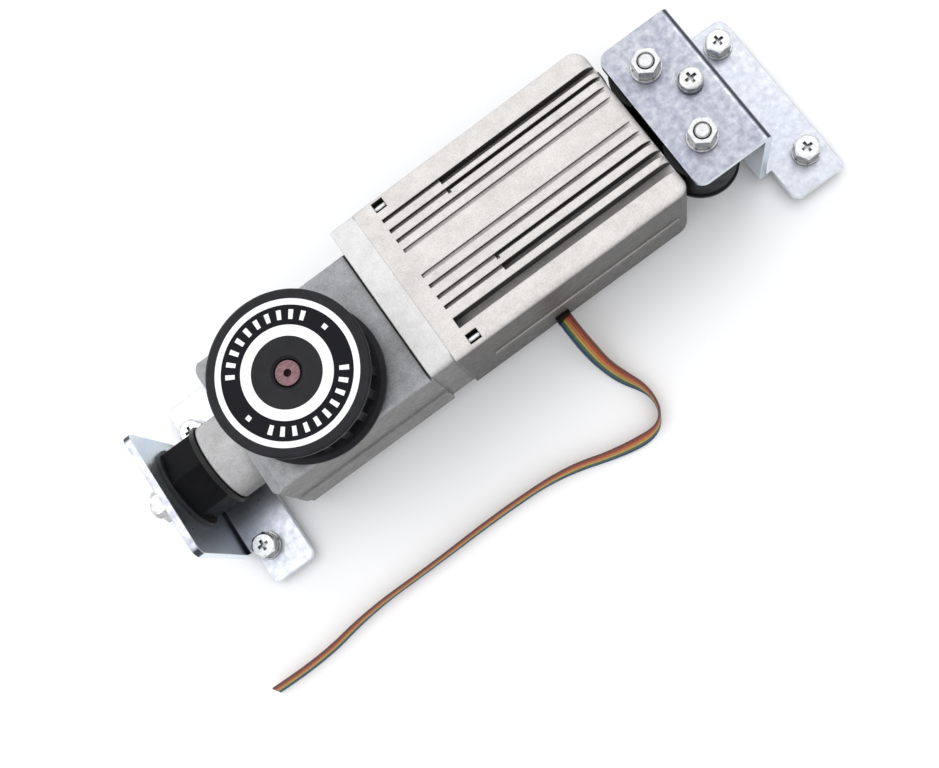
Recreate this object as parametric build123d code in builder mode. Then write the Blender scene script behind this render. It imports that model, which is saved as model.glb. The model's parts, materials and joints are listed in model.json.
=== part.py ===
from build123d import *
from math import cos, degrees, pi, radians, sin, tan
import os

# Sliding-door gearmotor on rubber-mounted brackets, in millimetres.
# Sizes are taken from the pulley axis (X = Y = 0) and the underside of the feet (Z = 0).
# +X runs along the motor to its rear end, +Z points up along the pulley axis.
# save() moves every part so that the exported origin is the centre of the four foot screws.

os.makedirs("parts", exist_ok=True)

# ---------------------------------------------------------------- driving sizes
BODY_NEAR, BODY_FAR = -28.0, 46.0        # side faces of the motor housing (Y)
BODY_LOW, BODY_TOP = 5.0, 56.0           # underside and top of the body (Z)
SEAM_X, MOTOR_END_X = 52.0, 163.4        # gearbox joint and rear face of the housing
AXIS_Z = 30.5                            # height of motor shaft and worm
WORM_Y = 16.0                            # worm to pulley axis distance
CLEAR = 0.05                             # running and assembly clearance on a radius

# gearbox block, collar and boss
BLOCK_X0, COLLAR_X = -37.3, 40.5
BLOCK_NEAR, BLOCK_FAR, BLOCK_TOP = -27.5, 36.0, 53.0
COLLAR_NEAR, COLLAR_FAR = -26.8, 46.4
RELIEF_W, RELIEF_D = 1.1, 1.8              # groove at the foot of the collar
BOSS_X, BOSS_Y, BOSS_Z, BOSS_R = -53.1, 3.0, 30.0, 17.5
BLOCK_CHAMFER, BLOCK_CORNER, BLOCK_EDGE, COLLAR_CORNER = 5.0, 3.5, 2.0, 4.5
RIB_TOP, RIB_PROUD = 25.0, 1.0
COVER_T, GASKET_T = 3.4, 0.6
COVER_CORNER, COVER_INSET, COVER_SCREW_INSET = 3.2, 0.3, 5.5
COVER_POST, COVER_POST_H, COVER_THREAD_L = 10.0, 12.0, 9.0
COVER_HEAD_R, COVER_HEAD_H, SOCKET_FLATS = 3.5, 2.4, 2.5
COVER_TOP = BODY_LOW + COVER_T
BLOCK_LOW = COVER_TOP + GASKET_T
CAVITY_X0, CAVITY_X1 = -28.0, 36.0
CAVITY_NEAR, CAVITY_FAR, CAVITY_TOP = -22.5, 31.0, 46.0

# worm drive: two starts against 26 teeth, ratio 13
MODULE, WORM_STARTS, WHEEL_TEETH = 0.8, 2, 26
WHEEL_R = MODULE * WHEEL_TEETH / 2
WORM_R = WORM_Y - WHEEL_R
AXIAL_PITCH = pi * MODULE
LEAD = WORM_STARTS * AXIAL_PITCH
WHEEL_WIDTH = 8.0
TOOTH_SHARE = 0.36                       # tooth thickness at the pitch line, of one pitch
ADDENDUM, DEDENDUM = MODULE, 1.25 * MODULE
WORM_LENGTH = 10 * AXIAL_PITCH

# shafts and bearings (bore, outer, width)
OUT_SHAFT_R, PULLEY_SEAT_R, OUT_SHAFT_TOP = 6.0, 5.5, 81.6
PULLEY_SHOULDER_Z = 55.6
BEARING_OUT = (6.0, 14.0, 8.0)
BEARING_WORM = (3.5, 9.5, 6.0)
UPPER_BEARING_Z, LOWER_BEARING_Z = 40.0, 9.0
BEARING_WALL_UPPER, BEARING_WALL_LOWER = 3.5, 3.0
SHIELD_RECESS = 0.4                      # depth of a bearing's shield recesses
MOTOR_SHAFT_R = 3.5
WORM_LEFT_BEARING_X, WORM_MID_BEARING_X, REAR_BEARING_X = -34.0, 40.0, 151.0
SEAL_R, SEAL_LIP, SEAL_BELOW = 11.0, 1.6, 0.3

# pulley: 19 teeth of 9.525 mm pitch between two flanges
PULLEY_TEETH, PULLEY_PITCH, PITCH_LINE = 19, 9.525, 0.38
PULLEY_OD_R = PULLEY_TEETH * PULLEY_PITCH / (2 * pi) - PITCH_LINE
PULLEY_Z0, PULLEY_Z1, FLANGE_R, FLANGE_T = 56.6, 82.4, 32.0, 2.2
LABEL_IN_R, LABEL_OUT_R, LABEL_T = 13.7, 28.2, 0.4
KEY_W, KEY_DEPTH, KEY_PROUD = 4.0, 2.4, 1.6
WHEEL_KEY_Z = (AXIS_Z - WHEEL_WIDTH / 2, AXIS_Z + WHEEL_WIDTH / 2)
PULLEY_KEY_Z = (60.0, 78.0)
TOOTH_GAP, TOOTH_GAP_D, TOOTH_FLANK = 6.2, 2.7, 72   # width, depth and side angle between teeth

# motor
STATOR_R, STATOR_BORE_R, STATOR_X0, STATOR_X1 = 20.0, 12.6, 84.0, 126.0
STATOR_SLOTS, SLOT_CENTRE_R, COIL_LAP = 9, 15.8, 4.0
ROTOR_R, MAGNET_R, MAGNET_COUNT = 9.4, 12.0, 8
BOARD_X, BOARD_T, HALL_SENSORS = STATOR_X1 + 7.0, 1.6, 3
FLANGE_X = 60.5                          # grooves and notches begin here
# cooling grooves, deeper towards the sides: centre (Y) and depth
FIN_GROOVES = [(35.4, 2.4), (30.2, 2.0), (25.2, 1.7), (20.2, 1.1),
               (7.5, 1.1), (2.3, 1.6), (-3.2, 1.8), (-8.2, 2.1)]
GROOVE_W = 1.7
STEP_X, STEP_D, STEP_WIDER = 88.0, 5.2, 1.4     # the outermost grooves get deeper and wider here
INNER_STEP_D, STEP_MARK_L, STEP_MARK_W = 3.4, 1.4, 1.1
JOINT_FLATS = 1.6
SIDE_GROOVE_Y, SIDE_GROOVE_W, SIDE_GROOVE_D = -15.9, 4.8, 6.4
LEDGE_PROUD, LEDGE_Z = 0.8, (27.0, 30.0)
JOINT_SCREW_Y, JOINT_SCREW_Z = (-24.0, 42.0), (8.2, 52.8)
JOINT_R, JOINT_HEAD_R, JOINT_HEAD_L = 1.25, 1.7, 5.0
NOTCH_L, NOTCH_W, NOTCH_H = 5.2, 4.5, 6.0
REAR_CORNER, BODY_EDGE = 6.0, 2.5
END_CAP_X, END_CAP_FACE = 155.0, 161.0
CARRIER_HEAD_R, CARRIER_HEAD_H = 3.6, 2.2
CARRIER_SCREWS = [(5.0, 40.5), (34.5, 40.5), (-16.0, 14.5), (34.5, 14.5)]

# brackets, dampers and fasteners
SHEET = 3.0
BEND_OUT, BEND_IN, LEFT_BEND_IN = 3.2, 0.8, 2.0
PLATE_CORNER, FOOT_CORNER_NEAR, FOOT_CORNER_FAR = 5.0, 1.8, 4.0
LEFT_TOP_CORNER, LEFT_FOOT_CORNER, EAR_CORNER, EAR_INSET = 4.0, 3.5, 2.5, 3.1
RIGHT_X0, RIGHT_X1, RIGHT_FOOT_X = 166.2, 200.3, 228.0
RIGHT_TOP, RIGHT_NEAR, RIGHT_FAR, RIGHT_EAR = 50.7, -28.6, 39.0, -45.4
STUD_X, STUD_Y = 179.0, (-13.0, 23.0)
DAMPER_R, DAMPER_PLATE_T = 15.2, 1.5
SHELF_TOP, CARRIER_T, SHELF_R = 22.0, 2.0, 12.0
LEFT_X0, LEFT_TOP, LEFT_NEAR, LEFT_FAR = -74.9, 56.0, -29.5, 28.5
LEFT_FOOT_X, LEFT_EAR_NEAR, LEFT_EAR_FAR, LEFT_EAR_X = -47.6, -46.6, 45.0, -68.8
LEFT_DAMPER_R, PLATE_T = 17.0, 2.0
FOOT_SCREW_X, FOOT_SCREW_Y = (-62.5, 219.0), (-31.0, 29.0)
FOOT_SCREWS = [(x, y) for x in FOOT_SCREW_X for y in FOOT_SCREW_Y]
FOOT_THREAD_R, FOOT_THREAD_L = 2.95, 3.8
FOOT_HEAD_H, RECESS_W, RECESS_D = 4.0, 4.8, 1.8
M6_R, M8_R, M4_R, EARTH_R = 3.0, 4.0, 2.0, 2.5
WASHER_T, SPRING_T, SPLIT = 1.6, 1.6, 0.8
FLAT_R, FOOT_FLAT_R, SPRING_R = 6.2, 6.0, 5.3            # M6 washers
LEFT_FLAT_R, LEFT_SPRING_R = 8.0, 7.0                    # M8 washers
NUT_H, NUT_FLATS, NUT_TURN, STUD_PROUD = 5.0, 10.0, 25.0, 0.4
LEFT_NUT_H, LEFT_NUT_FLATS, LEFT_SPRING_T, LEFT_STUD_PROUD = 6.5, 13.0, 2.0, 2.8
NUT_CHAMFER, HEAD_CHAMFER, THREAD_CHAMFER = 0.5, 1.2, 0.7
EARTH_SCREW, EARTH_HEAD_R, EARTH_HEAD_H, EARTH_WASHER_T = (189.0, 7.8), 5.0, 3.8, 1.2
EARTH_WASHER_R, EARTH_LENGTH, EARTH_DOME = 4.7, 9.0, 1.6

# ribbon cable: on edge, from the side of the motor housing along the floor
RIBBON_W, RIBBON_T = 7.6, 1.0
GROMMET = (97.0, 4.6, 9.6, 1.4)          # X, width, height, how far it stands proud
GROMMET_Z = 10.6
FLOOR_Z = 0.05                           # centreline height where the ribbon lies
RIBBON_ROUTE = [
    (97.0, BODY_NEAR - GROMMET[3], GROMMET_Z),
    (97.0, -40.0, GROMMET_Z),
    (99.5, -57.0, FLOOR_Z),
    (109.0, -75.0, FLOOR_Z),
    (103.0, -89.0, FLOOR_Z),
    (84.0, -87.3, FLOOR_Z),
    (58.0, -79.2, FLOOR_Z),
    (26.0, -78.2, FLOOR_Z),
    (-8.0, -79.2, FLOOR_Z),
    (-42.0, -79.2, FLOOR_Z),
    (-71.0, -84.2, FLOOR_Z),
    (-94.0, -83.2, FLOOR_Z),
]

AXIS_PLANE = Plane(origin=(0, WORM_Y, AXIS_Z), x_dir=(0, 1, 0), z_dir=(1, 0, 0))
BOSS_PLANE = Plane(origin=(0, BOSS_Y, BOSS_Z), x_dir=(0, 1, 0), z_dir=(1, 0, 0))
END_PLANE = Plane(origin=(0, 0, 0), x_dir=(0, 1, 0), z_dir=(1, 0, 0))
TO_FOOT_CENTRE = Pos(-sum(FOOT_SCREW_X) / 2, -sum(FOOT_SCREW_Y) / 2, 0)


def save(part, label):
    """Name one sub-part and write its STEP file, measured from the foot screws' centre."""
    placed = TO_FOOT_CENTRE * part
    placed.label = label
    export_step(placed, f"parts/{label}.step")


def span(low, high):
    """Middle and length of an interval."""
    return (low + high) / 2, high - low


def block(x, y, z, mode=Mode.ADD):
    """Box given by its three intervals."""
    (cx, lx), (cy, ly), (cz, lz) = span(*x), span(*y), span(*z)
    with Locations((cx, cy, cz)):
        Box(lx, ly, lz, mode=mode)


def disc(plane, start, end, radius, bore=0.0, mode=Mode.ADD):
    """Disc or ring between two offsets along a plane's normal."""
    with BuildSketch(plane.offset(start)) as profile:
        Circle(radius)
        if bore:
            Circle(bore, mode=Mode.SUBTRACT)
    extrude(profile.sketch, amount=end - start, mode=mode)


def bars(plane, start, end, radius, places, mode=Mode.ADD):
    """Round bars or holes at several places of a plane."""
    with BuildSketch(plane.offset(start)) as profile:
        with Locations(*places):
            Circle(radius)
    extrude(profile.sketch, amount=end - start, mode=mode)


def hexagons(plane, start, end, across_flats, places, bore=0.0, turn=0.0, mode=Mode.ADD):
    """Hexagonal prisms, bored where they are nuts."""
    with BuildSketch(plane.offset(start)) as profile:
        with Locations(*places):
            RegularPolygon(across_flats / 2, 6, major_radius=False, rotation=turn)
            if bore:
                Circle(bore, mode=Mode.SUBTRACT)
    extrude(profile.sketch, amount=end - start, mode=mode)


def washers(plane, start, thickness, outer, bore, places, split=0.0):
    """Flat washers, or spring washers when a split width is given."""
    with BuildPart() as rings:
        with BuildSketch(plane.offset(start)):
            with Locations(*places):
                Circle(outer)
                Circle(bore, mode=Mode.SUBTRACT)
            if split:
                with Locations(*[(x + outer / 2, y) for x, y in places]):
                    Rectangle(outer, split, rotation=20, mode=Mode.SUBTRACT)
        extrude(amount=thickness)
    return rings.part


def trim_corners(plane, start, height, across_flats, places, cut):
    """Cut the outer corners of hexagons to the usual 30 degree cone."""
    corner = across_flats / 2 / cos(radians(30))
    with BuildSketch(plane.offset(start)) as foot:
        with Locations(*places):
            Circle(corner + height * tan(radians(60)) - cut)
    extrude(foot.sketch, amount=height, taper=60, mode=Mode.INTERSECT)


def nuts(plane, start, height, across_flats, bore, places, turn=0.0):
    """Hex nuts with trimmed corners and a countersink at each end of the thread."""
    with BuildPart() as group:
        hexagons(plane, start, start + height, across_flats, places, bore, turn)
        trim_corners(plane, start, height, across_flats, places, NUT_CHAMFER)
        for level, radius, taper in ((start, bore + THREAD_CHAMFER, 45),
                                     (start + height - THREAD_CHAMFER, bore, -45)):
            with BuildSketch(plane.offset(level)):
                with Locations(*places):
                    Circle(radius)
            extrude(amount=THREAD_CHAMFER, taper=taper, mode=Mode.SUBTRACT)
    return group.part


def sealed_bearing(plane, start, size):
    """Shielded ball bearing as one ring with its two shield recesses."""
    bore, outer, width = size
    wall = (outer - bore) * 0.24
    with BuildPart() as bearing:
        disc(plane, start, start + width, outer - CLEAR / 2, bore + CLEAR)
        for side in (start, start + width - SHIELD_RECESS):
            disc(plane, side, side + SHIELD_RECESS, outer - wall, bore + wall, mode=Mode.SUBTRACT)
    return bearing.part


def cross_recess(plane, start, depth, width, places):
    """Cross-shaped driver recess."""
    with BuildSketch(plane.offset(start)) as cross:
        with Locations(*places):
            Rectangle(width, width * 0.26)
            Rectangle(width * 0.26, width)
    extrude(cross.sketch, amount=-depth, mode=Mode.SUBTRACT)


# ---------------------------------------------------------------- gearbox casting
cover_holes = [(BLOCK_X0 + 6, BLOCK_NEAR + COVER_SCREW_INSET), (BLOCK_X0 + 6, BLOCK_FAR - COVER_SCREW_INSET),
               (COLLAR_X - 5, BLOCK_NEAR + COVER_SCREW_INSET), (COLLAR_X - 5, BLOCK_FAR - COVER_SCREW_INSET)]
joint_holes = [(y, z) for y in JOINT_SCREW_Y for z in JOINT_SCREW_Z]

with BuildPart() as gearbox_housing:
    block((BLOCK_X0, COLLAR_X), (BLOCK_NEAR, BLOCK_FAR), (BLOCK_LOW, BLOCK_TOP))
    left_edge = gearbox_housing.edges().filter_by(Axis.Y).group_by(Axis.Z)[-1].sort_by(Axis.X)[0]
    chamfer(left_edge, BLOCK_CHAMFER)
    fillet(gearbox_housing.edges().filter_by(Axis.Z).group_by(Axis.X)[0], BLOCK_CORNER)
    fillet(gearbox_housing.edges().filter_by(Axis.X).group_by(Axis.Z)[-1], BLOCK_EDGE)
    with BuildSketch(END_PLANE.offset(COLLAR_X)):
        (cy, ly), (cz, lz) = span(COLLAR_NEAR, COLLAR_FAR), span(BODY_LOW, BODY_TOP)
        with Locations((cy, cz)):
            RectangleRounded(ly, lz, COLLAR_CORNER)
    extrude(amount=SEAM_X - COLLAR_X)
    # raised rib along the near side, and the boss that carries the left damper
    rib_y = (BLOCK_NEAR - RIB_PROUD, BLOCK_NEAR + RIB_PROUD)
    block((BLOCK_X0 + BLOCK_CORNER, COLLAR_X), rib_y, (BLOCK_LOW, RIB_TOP))
    disc(BOSS_PLANE, BOSS_X, BLOCK_X0 + 1.0, BOSS_R)
    rim = gearbox_housing.edges().filter_by(GeomType.CIRCLE).sort_by(Axis.X)[0]
    chamfer(rim, 0.8)
    block((COLLAR_X - RELIEF_W, COLLAR_X), (BLOCK_NEAR, BLOCK_FAR), (BLOCK_TOP - RELIEF_D, BLOCK_TOP),
          Mode.SUBTRACT)
    block((CAVITY_X0, CAVITY_X1), (CAVITY_NEAR, CAVITY_FAR), (BLOCK_LOW, CAVITY_TOP), Mode.SUBTRACT)
    for x, y in cover_holes:
        post_x, post_y = (x - COVER_POST / 2, x + COVER_POST / 2), (y - COVER_POST / 2, y + COVER_POST / 2)
        block(post_x, post_y, (BLOCK_LOW, BLOCK_LOW + COVER_POST_H))
    disc(Plane.XY, UPPER_BEARING_Z - 1.0, CAVITY_TOP + 1.0, BEARING_OUT[1] + BEARING_WALL_UPPER)
    disc(Plane.XY, UPPER_BEARING_Z - 1.0, UPPER_BEARING_Z + BEARING_OUT[2], BEARING_OUT[1],
         mode=Mode.SUBTRACT)
    disc(Plane.XY, UPPER_BEARING_Z, BLOCK_TOP, SEAL_R, mode=Mode.SUBTRACT)
    # seats of the two worm bearings
    disc(AXIS_PLANE, WORM_LEFT_BEARING_X, CAVITY_X0, BEARING_WORM[1], mode=Mode.SUBTRACT)
    disc(AXIS_PLANE, WORM_MID_BEARING_X, SEAM_X, BEARING_WORM[1], mode=Mode.SUBTRACT)
    disc(AXIS_PLANE, CAVITY_X1 - 1.0, SEAM_X, BEARING_WORM[1] - 2.0, mode=Mode.SUBTRACT)
    # threaded holes
    bars(Plane.XY, BLOCK_LOW, BLOCK_LOW + COVER_THREAD_L, M4_R, cover_holes, Mode.SUBTRACT)
    bars(END_PLANE, COLLAR_X + 2.5, SEAM_X, JOINT_R, joint_holes, Mode.SUBTRACT)
    disc(BOSS_PLANE, BOSS_X, BOSS_X + 12.0, M8_R, mode=Mode.SUBTRACT)
save(gearbox_housing.part, "gearbox_housing")

cover_x = (BLOCK_X0 + COVER_INSET, COLLAR_X - COVER_INSET)
cover_y = (BLOCK_NEAR + COVER_INSET, BLOCK_FAR - COVER_INSET)

with BuildPart() as cover_gasket:
    with BuildSketch(Plane.XY.offset(COVER_TOP)):
        (cx, lx), (cy, ly) = span(*cover_x), span(*cover_y)
        with Locations((cx, cy)):
            RectangleRounded(lx, ly, COVER_CORNER)
        (cx, lx), (cy, ly) = span(CAVITY_X0, CAVITY_X1), span(CAVITY_NEAR, CAVITY_FAR)
        with Locations((cx, cy)):
            Rectangle(lx, ly, mode=Mode.SUBTRACT)
        with Locations(*cover_holes):
            Circle(COVER_POST / 2)
            Circle(M4_R + 0.2, mode=Mode.SUBTRACT)
    extrude(amount=GASKET_T)
save(cover_gasket.part, "cover_gasket")

with BuildPart() as bottom_cover:
    with BuildSketch(Plane.XY.offset(BODY_LOW)):
        (cx, lx), (cy, ly) = span(*cover_x), span(*cover_y)
        with Locations((cx, cy)):
            RectangleRounded(lx, ly, COVER_CORNER)
    extrude(amount=COVER_T)
    disc(Plane.XY, COVER_TOP - 1.0, LOWER_BEARING_Z + BEARING_OUT[2], BEARING_OUT[1] + BEARING_WALL_LOWER)
    disc(Plane.XY, LOWER_BEARING_Z, LOWER_BEARING_Z + BEARING_OUT[2], BEARING_OUT[1],
         mode=Mode.SUBTRACT)
    disc(Plane.XY, LOWER_BEARING_Z - 1.5, LOWER_BEARING_Z, BEARING_OUT[1] - 3.0, mode=Mode.SUBTRACT)
    bars(Plane.XY, BODY_LOW, COVER_TOP, M4_R + 0.2, cover_holes, Mode.SUBTRACT)
    bars(Plane.XY, BODY_LOW, BODY_LOW + COVER_HEAD_H, COVER_HEAD_R + 0.3, cover_holes, Mode.SUBTRACT)
save(bottom_cover.part, "bottom_cover")

with BuildPart() as cover_screws:
    bars(Plane.XY, BODY_LOW + 0.2, BODY_LOW + COVER_HEAD_H, COVER_HEAD_R, cover_holes)
    bars(Plane.XY, BODY_LOW + COVER_HEAD_H, BLOCK_LOW + COVER_THREAD_L - 1.0, M4_R, cover_holes)
    hexagons(Plane.XY, BODY_LOW + 0.2, BODY_LOW + 1.6, SOCKET_FLATS, cover_holes, mode=Mode.SUBTRACT)
save(cover_screws.part, "cover_screws")

# ---------------------------------------------------------------- output shaft and worm wheel

def key_box(radius, z, mode=Mode.ADD, play=0.0):
    """Parallel key on the +X side of a shaft, or its keyway."""
    block((radius - KEY_DEPTH, radius + KEY_PROUD + play), (-KEY_W / 2, KEY_W / 2), z, mode)


with BuildPart() as output_shaft:
    disc(Plane.XY, LOWER_BEARING_Z + 0.2, PULLEY_SHOULDER_Z, OUT_SHAFT_R)
    disc(Plane.XY, PULLEY_SHOULDER_Z, OUT_SHAFT_TOP, PULLEY_SEAT_R)
    chamfer(output_shaft.edges().filter_by(GeomType.CIRCLE).sort_by(Axis.Z)[-1], 0.7)
    key_box(OUT_SHAFT_R, WHEEL_KEY_Z, Mode.SUBTRACT)
    key_box(PULLEY_SEAT_R, PULLEY_KEY_Z, Mode.SUBTRACT)
    disc(Plane.XY, OUT_SHAFT_TOP - 5.0, OUT_SHAFT_TOP, 1.5, mode=Mode.SUBTRACT)
save(output_shaft.part, "output_shaft")

with BuildPart() as wheel_key:
    key_box(OUT_SHAFT_R, WHEEL_KEY_Z)
save(wheel_key.part, "wheel_key")

with BuildPart() as pulley_key:
    key_box(PULLEY_SEAT_R, PULLEY_KEY_Z)
save(pulley_key.part, "pulley_key")


def gear_section(z, turn):
    """Straight-flanked tooth outline of the worm wheel at one height."""
    step = 360 / WHEEL_TEETH
    flank = degrees(ADDENDUM * tan(radians(20)) / WHEEL_R)
    half_tip = step * TOOTH_SHARE / 2 - flank
    half_root = step * TOOTH_SHARE / 2 + flank
    tip, root = WHEEL_R + ADDENDUM, WHEEL_R - DEDENDUM
    corners = []
    for tooth in range(WHEEL_TEETH):
        middle = 90 + turn + (tooth + 0.5) * step
        for radius, half in ((root, -half_root), (tip, -half_tip), (tip, half_tip), (root, half_root)):
            angle = radians(middle + half)
            corners.append((radius * cos(angle), radius * sin(angle)))
    with BuildSketch(Plane.XY.offset(z)) as section:
        with BuildLine():
            Polyline(*corners, close=True)
        make_face()
    return section.sketch


# the teeth follow the worm's lead angle
wheel_twist = degrees(WHEEL_WIDTH * MODULE * WORM_STARTS / 2 / WORM_R / WHEEL_R)
wheel_low = gear_section(WHEEL_KEY_Z[0], -wheel_twist / 2)
wheel_high = gear_section(WHEEL_KEY_Z[1], wheel_twist / 2)

with BuildPart() as worm_wheel:
    add(loft([wheel_low, wheel_high], ruled=True, mode=Mode.PRIVATE))
    disc(Plane.XY, WHEEL_KEY_Z[0], WHEEL_KEY_Z[1], OUT_SHAFT_R, mode=Mode.SUBTRACT)
    key_box(OUT_SHAFT_R, WHEEL_KEY_Z, Mode.SUBTRACT)
save(worm_wheel.part, "worm_wheel")

seal_face = BLOCK_TOP - SEAL_BELOW
with BuildPart() as oil_seal:
    disc(Plane.XY, UPPER_BEARING_Z + BEARING_OUT[2], seal_face, SEAL_R, OUT_SHAFT_R + CLEAR)
    disc(Plane.XY, seal_face - 0.7, seal_face, SEAL_R - SEAL_LIP, OUT_SHAFT_R + 1.2,
         mode=Mode.SUBTRACT)
save(oil_seal.part, "oil_seal")

save(sealed_bearing(Plane.XY, UPPER_BEARING_Z, BEARING_OUT), "upper_bearing")
save(sealed_bearing(Plane.XY, LOWER_BEARING_Z, BEARING_OUT), "lower_bearing")

# ---------------------------------------------------------------- worm and motor shaft
THREAD_ROOT, THREAD_TIP = WORM_R - DEDENDUM, WORM_R + ADDENDUM
half_root = AXIAL_PITCH * TOOTH_SHARE / 2 + DEDENDUM * tan(radians(20))
half_tip = AXIAL_PITCH * TOOTH_SHARE / 2 - ADDENDUM * tan(radians(20))

with BuildPart() as thread:
    with BuildLine() as thread_path:
        Helix(LEAD, WORM_LENGTH, WORM_R)
    with BuildSketch(Plane.XZ):
        with BuildLine():
            Polyline((THREAD_ROOT - 0.3, -half_root), (THREAD_TIP, -half_tip),
                     (THREAD_TIP, half_tip), (THREAD_ROOT - 0.3, half_root), close=True)
        make_face()
    sweep(path=thread_path.line, is_frenet=True)

with BuildPart() as worm_at_origin:
    disc(Plane.XY, -AXIAL_PITCH, WORM_LENGTH + AXIAL_PITCH, THREAD_ROOT)
    for start in range(WORM_STARTS):
        add(thread.part.rotate(Axis.Z, start * 360 / WORM_STARTS))
    disc(Plane.XY, -AXIAL_PITCH, WORM_LENGTH + AXIAL_PITCH, MOTOR_SHAFT_R, mode=Mode.SUBTRACT)
worm = AXIS_PLANE.offset(-WORM_LENGTH / 2).location * worm_at_origin.part
save(worm, "worm")

MOTOR_SHAFT_X0, MOTOR_SHAFT_X1 = WORM_LEFT_BEARING_X + 0.3, REAR_BEARING_X + BEARING_WORM[2]
with BuildPart() as motor_shaft:
    disc(AXIS_PLANE, MOTOR_SHAFT_X0, MOTOR_SHAFT_X1, MOTOR_SHAFT_R)
    ends = motor_shaft.edges().filter_by(GeomType.CIRCLE)
    chamfer(ends, 0.4)
save(motor_shaft.part, "motor_shaft")

save(sealed_bearing(AXIS_PLANE, WORM_LEFT_BEARING_X, BEARING_WORM), "worm_left_bearing")
save(sealed_bearing(AXIS_PLANE, WORM_MID_BEARING_X, BEARING_WORM), "worm_middle_bearing")
save(sealed_bearing(AXIS_PLANE, REAR_BEARING_X, BEARING_WORM), "motor_rear_bearing")

# ---------------------------------------------------------------- pulley
with BuildPart() as pulley_body:
    core_z = (PULLEY_Z0 + FLANGE_T, PULLEY_Z1 - FLANGE_T)
    disc(Plane.XY, *core_z, PULLEY_OD_R)
    with BuildSketch(Plane.XY.offset(core_z[0])):
        with PolarLocations(PULLEY_OD_R, PULLEY_TEETH):
            Trapezoid(TOOTH_GAP, TOOTH_GAP_D, TOOTH_FLANK, rotation=90, align=(Align.CENTER, Align.MIN))
    extrude(amount=core_z[1] - core_z[0], mode=Mode.SUBTRACT)
    for z in ((PULLEY_Z0, core_z[0]), (core_z[1], PULLEY_Z1)):
        disc(Plane.XY, *z, LABEL_IN_R)
    disc(Plane.XY, PULLEY_Z0 - 1.0, PULLEY_Z0, 9.0)
    disc(Plane.XY, PULLEY_Z0 - 1.0, PULLEY_Z1, PULLEY_SEAT_R, mode=Mode.SUBTRACT)
    key_box(PULLEY_SEAT_R, PULLEY_KEY_Z, Mode.SUBTRACT)
    bore_rim = pulley_body.edges().filter_by(GeomType.CIRCLE).group_by(Axis.Z)[-1].sort_by(SortBy.RADIUS)[0]
    chamfer(bore_rim, 1.1)
save(pulley_body.part, "pulley_body")


def flange(z, up):
    """Pressed flange: flat ring whose rim is dished outward."""
    face = z + FLANGE_T * up
    with BuildPart() as ring:
        with BuildSketch(Plane.XZ):
            with BuildLine():
                Polyline((LABEL_IN_R, z), (PULLEY_OD_R + 1.4, z), (FLANGE_R, z + 0.5 * up),
                         (FLANGE_R, z + 1.6 * up), (FLANGE_R - 0.8, face), (LABEL_IN_R, face),
                         close=True)
            make_face()
        revolve(axis=Axis.Z)
        if up > 0:
            disc(Plane.XY, face - LABEL_T, face, LABEL_OUT_R, LABEL_IN_R, mode=Mode.SUBTRACT)
    return ring.part


save(flange(PULLEY_Z1 - FLANGE_T, 1), "pulley_top_flange")
save(flange(PULLEY_Z0 + FLANGE_T, -1), "pulley_bottom_flange")

with BuildPart() as pulley_label:
    disc(Plane.XY, PULLEY_Z1 - LABEL_T, PULLEY_Z1, LABEL_OUT_R, LABEL_IN_R)
save(pulley_label.part, "pulley_label")

# ---------------------------------------------------------------- motor housing
cap_y, cap_z = (BODY_NEAR + 7.0, BODY_FAR - 7.0), (BODY_LOW + 4.0, BODY_TOP - 9.0)


def groove(x, y, depth):
    """Cut a groove of a given depth into the top of the motor housing."""
    block(x, y, (BODY_TOP - depth, BODY_TOP), Mode.SUBTRACT)


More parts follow.
